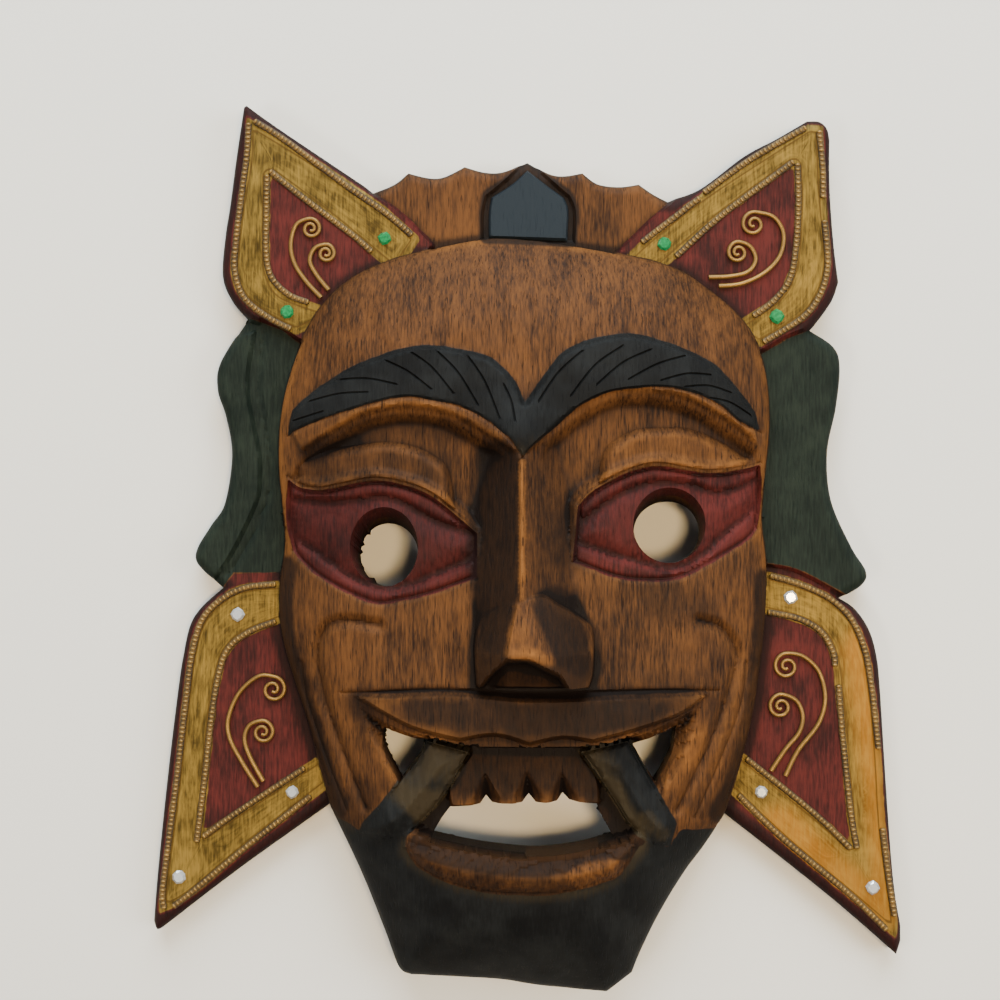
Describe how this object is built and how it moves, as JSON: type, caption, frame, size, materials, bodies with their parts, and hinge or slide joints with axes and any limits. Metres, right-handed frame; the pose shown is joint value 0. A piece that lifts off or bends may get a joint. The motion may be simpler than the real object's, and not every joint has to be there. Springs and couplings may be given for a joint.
{
  "type": "carved wooden wall mask",
  "caption": "Hand-carved wooden demon mask with pointed ears, side locks, lower flaps, open eyes and a tusked mouth, trimmed with gilt beading, wire scrolls and glass chips",
  "frame": {"origin": "middle of the bounding box, on the flat back", "axes": "+X to the viewer's right, +Y to the top of the mask, +Z out of the face; the mask lies on its back"},
  "size_m": [0.2984, 0.3516, 0.067],
  "materials": {
    "carved_wood": "brown stained and waxed carved wood with hand-painted maroon, black, green and gold areas",
    "gilt_edging": "dull gilt over a brittle cast beaded strip",
    "gilt_wire": "dull gilt bent wire",
    "green_glass": "small cut green glass",
    "mirror_glass": "small cut mirror glass"
  },
  "bodies": {
    "root": {"mask_carving": "carved_wood", "left_ear_outer_side_beading": "gilt_edging", "left_ear_outer_top_beading": "gilt_edging", "left_ear_inner_side_beading": "gilt_edging", "left_ear_inner_top_beading": "gilt_edging", "right_ear_outer_top_low_beading": "gilt_edging", "right_ear_outer_top_high_beading": "gilt_edging", "right_ear_outer_side_high_beading": "gilt_edging", "right_ear_outer_side_low_beading": "gilt_edging", "right_ear_inner_side_beading": "gilt_edging", "right_ear_inner_top_beading": "gilt_edging", "left_flap_outer_side_beading": "gilt_edging", "left_flap_outer_low_beading": "gilt_edging", "left_flap_inner_side_beading": "gilt_edging", "left_flap_inner_low_beading": "gilt_edging", "right_flap_outer_side_high_beading": "gilt_edging", "right_flap_outer_side_low_beading": "gilt_edging", "right_flap_outer_low_beading": "gilt_edging", "right_flap_inner_side_high_beading": "gilt_edging", "right_flap_inner_side_low_beading": "gilt_edging", "right_flap_inner_low_beading": "gilt_edging", "left_ear_large_scroll": "gilt_wire", "left_ear_small_scroll": "gilt_wire", "right_ear_large_scroll": "gilt_wire", "right_ear_small_scroll": "gilt_wire", "left_flap_large_scroll": "gilt_wire", "left_flap_small_scroll": "gilt_wire", "right_flap_large_scroll": "gilt_wire", "right_flap_small_scroll": "gilt_wire", "left_ear_upper_chip": "green_glass", "left_ear_lower_chip": "green_glass", "right_ear_upper_chip": "green_glass", "right_ear_lower_chip": "green_glass", "left_flap_upper_chip": "mirror_glass", "left_flap_lower_chip": "mirror_glass", "left_flap_tip_chip": "mirror_glass", "right_flap_upper_chip": "mirror_glass", "right_flap_lower_chip": "mirror_glass", "right_flap_tip_chip": "mirror_glass"}
  },
  "joints": []
}
